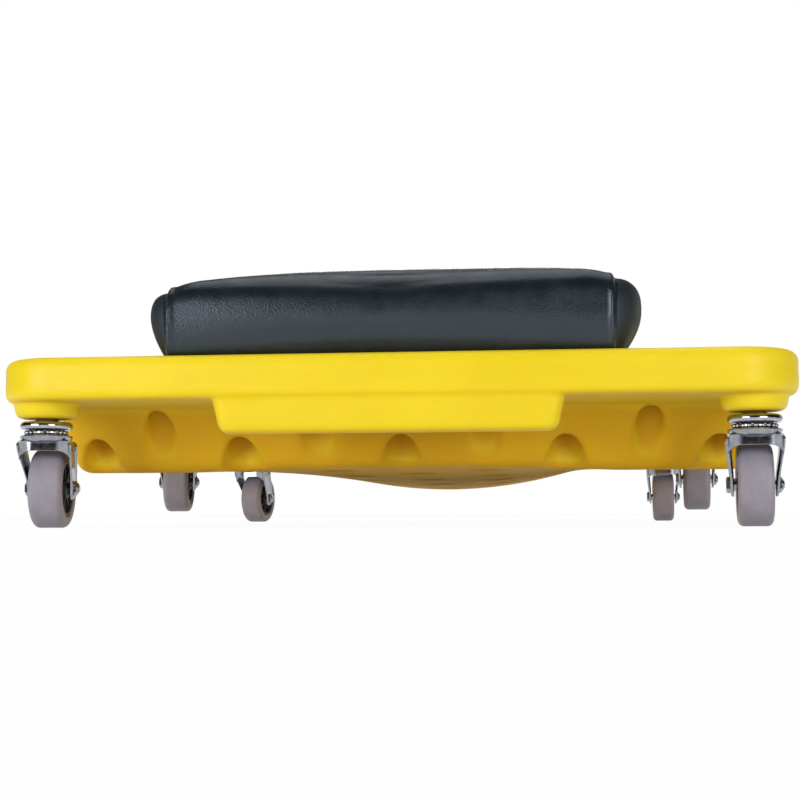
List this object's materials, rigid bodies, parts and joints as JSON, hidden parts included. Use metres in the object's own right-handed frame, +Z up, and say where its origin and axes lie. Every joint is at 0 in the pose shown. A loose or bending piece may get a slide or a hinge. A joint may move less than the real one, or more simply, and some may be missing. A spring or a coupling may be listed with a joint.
{
  "type": "mechanic creeper",
  "caption": "Low wheeled plastic board that a mechanic lies on to work under a vehicle, with a padded headrest and swivel casters.",
  "frame": {"origin": "centre of the bounding box on the floor, under the four corner wheels", "axes": "+Z up, +Y along the length from the head end to the foot end, +X to the right seen from the head end"},
  "size_m": [0.744, 1.016, 0.2387],
  "materials": {
    "yellow_plastic": "satin",
    "black_vinyl": "satin",
    "plywood": "matte",
    "bright_zinc": "gloss",
    "plain_steel": "satin",
    "hub_plastic": "matte",
    "grey_rubber": "matte"
  },
  "bodies": {
    "deck": {"deck_body": "yellow_plastic", "headrest_cushion": "black_vinyl", "headrest_board": "plywood", "headrest_screw_1": "bright_zinc", "headrest_screw_2": "bright_zinc", "headrest_screw_3": "bright_zinc", "headrest_screw_4": "bright_zinc", "caster_head_left_stem": "plain_steel", "caster_head_right_stem": "plain_steel", "caster_middle_left_stem": "plain_steel", "caster_middle_right_stem": "plain_steel", "caster_foot_left_stem": "plain_steel", "caster_foot_right_stem": "plain_steel"},
    "caster_head_left_swivel": {"caster_head_left_ball_ring": "plain_steel", "caster_head_left_fork": "bright_zinc", "caster_head_left_axle_bush": "plain_steel", "caster_head_left_axle_bolt": "bright_zinc", "caster_head_left_axle_nut": "bright_zinc"},
    "caster_head_left_wheel": {"caster_head_left_hub": "hub_plastic", "caster_head_left_tread": "grey_rubber"},
    "caster_head_right_swivel": {"caster_head_right_ball_ring": "plain_steel", "caster_head_right_fork": "bright_zinc", "caster_head_right_axle_bush": "plain_steel", "caster_head_right_axle_bolt": "bright_zinc", "caster_head_right_axle_nut": "bright_zinc"},
    "caster_head_right_wheel": {"caster_head_right_hub": "hub_plastic", "caster_head_right_tread": "grey_rubber"},
    "caster_middle_left_swivel": {"caster_middle_left_ball_ring": "plain_steel", "caster_middle_left_fork": "bright_zinc", "caster_middle_left_axle_bush": "plain_steel", "caster_middle_left_axle_bolt": "bright_zinc", "caster_middle_left_axle_nut": "bright_zinc"},
    "caster_middle_left_wheel": {"caster_middle_left_hub": "hub_plastic", "caster_middle_left_tread": "grey_rubber"},
    "caster_middle_right_swivel": {"caster_middle_right_ball_ring": "plain_steel", "caster_middle_right_fork": "bright_zinc", "caster_middle_right_axle_bush": "plain_steel", "caster_middle_right_axle_bolt": "bright_zinc", "caster_middle_right_axle_nut": "bright_zinc"},
    "caster_middle_right_wheel": {"caster_middle_right_hub": "hub_plastic", "caster_middle_right_tread": "grey_rubber"},
    "caster_foot_left_swivel": {"caster_foot_left_ball_ring": "plain_steel", "caster_foot_left_fork": "bright_zinc", "caster_foot_left_axle_bush": "plain_steel", "caster_foot_left_axle_bolt": "bright_zinc", "caster_foot_left_axle_nut": "bright_zinc"},
    "caster_foot_left_wheel": {"caster_foot_left_hub": "hub_plastic", "caster_foot_left_tread": "grey_rubber"},
    "caster_foot_right_swivel": {"caster_foot_right_ball_ring": "plain_steel", "caster_foot_right_fork": "bright_zinc", "caster_foot_right_axle_bush": "plain_steel", "caster_foot_right_axle_bolt": "bright_zinc", "caster_foot_right_axle_nut": "bright_zinc"},
    "caster_foot_right_wheel": {"caster_foot_right_hub": "hub_plastic", "caster_foot_right_tread": "grey_rubber"}
  },
  "joints": [
    {"name": "caster_head_left_swivel_turn", "type": "hinge", "parent": "deck", "child": "caster_head_left_swivel", "pos_m": [-0.331, -0.458, 0.1035], "axis": [0, 0, 1], "continuous": true},
    {"name": "caster_head_left_wheel_spin", "type": "hinge", "parent": "caster_head_left_swivel", "child": "caster_head_left_wheel", "pos_m": [-0.3349, -0.43027, 0.0381], "axis": [0.9903, 0.1392, 0], "continuous": true},
    {"name": "caster_head_right_swivel_turn", "type": "hinge", "parent": "deck", "child": "caster_head_right_swivel", "pos_m": [0.331, -0.458, 0.1035], "axis": [0, 0, 1], "continuous": true},
    {"name": "caster_head_right_wheel_spin", "type": "hinge", "parent": "caster_head_right_swivel", "child": "caster_head_right_wheel", "pos_m": [0.33393, -0.43015, 0.0381], "axis": [0.9945, -0.1045, 0], "continuous": true},
    {"name": "caster_middle_left_swivel_turn", "type": "hinge", "parent": "deck", "child": "caster_middle_left_swivel", "pos_m": [-0.331, -0.009, 0.12], "axis": [0, 0, 1], "continuous": true},
    {"name": "caster_middle_left_wheel_spin", "type": "hinge", "parent": "caster_middle_left_swivel", "child": "caster_middle_left_wheel", "pos_m": [-0.33441, 0.01879, 0.0546], "axis": [0.9925, 0.1219, 0], "continuous": true},
    {"name": "caster_middle_right_swivel_turn", "type": "hinge", "parent": "deck", "child": "caster_middle_right_swivel", "pos_m": [0.331, -0.009, 0.12], "axis": [0, 0, 1], "continuous": true},
    {"name": "caster_middle_right_wheel_spin", "type": "hinge", "parent": "caster_middle_right_swivel", "child": "caster_middle_right_wheel", "pos_m": [0.33344, 0.01889, 0.0546], "axis": [0.9962, -0.0872, 0], "continuous": true},
    {"name": "caster_foot_left_swivel_turn", "type": "hinge", "parent": "deck", "child": "caster_foot_left_swivel", "pos_m": [-0.331, 0.44, 0.1035], "axis": [0, 0, 1], "continuous": true},
    {"name": "caster_foot_left_wheel_spin", "type": "hinge", "parent": "caster_foot_left_swivel", "child": "caster_foot_left_wheel", "pos_m": [-0.32614, 0.46758, 0.0381], "axis": [0.9848, -0.1736, 0], "continuous": true},
    {"name": "caster_foot_right_swivel_turn", "type": "hinge", "parent": "deck", "child": "caster_foot_right_swivel", "pos_m": [0.331, 0.44, 0.1035], "axis": [0, 0, 1], "continuous": true},
    {"name": "caster_foot_right_wheel_spin", "type": "hinge", "parent": "caster_foot_right_swivel", "child": "caster_foot_right_wheel", "pos_m": [0.33247, 0.46796, 0.0381], "axis": [0.9986, -0.0523, 0], "continuous": true}
  ]
}
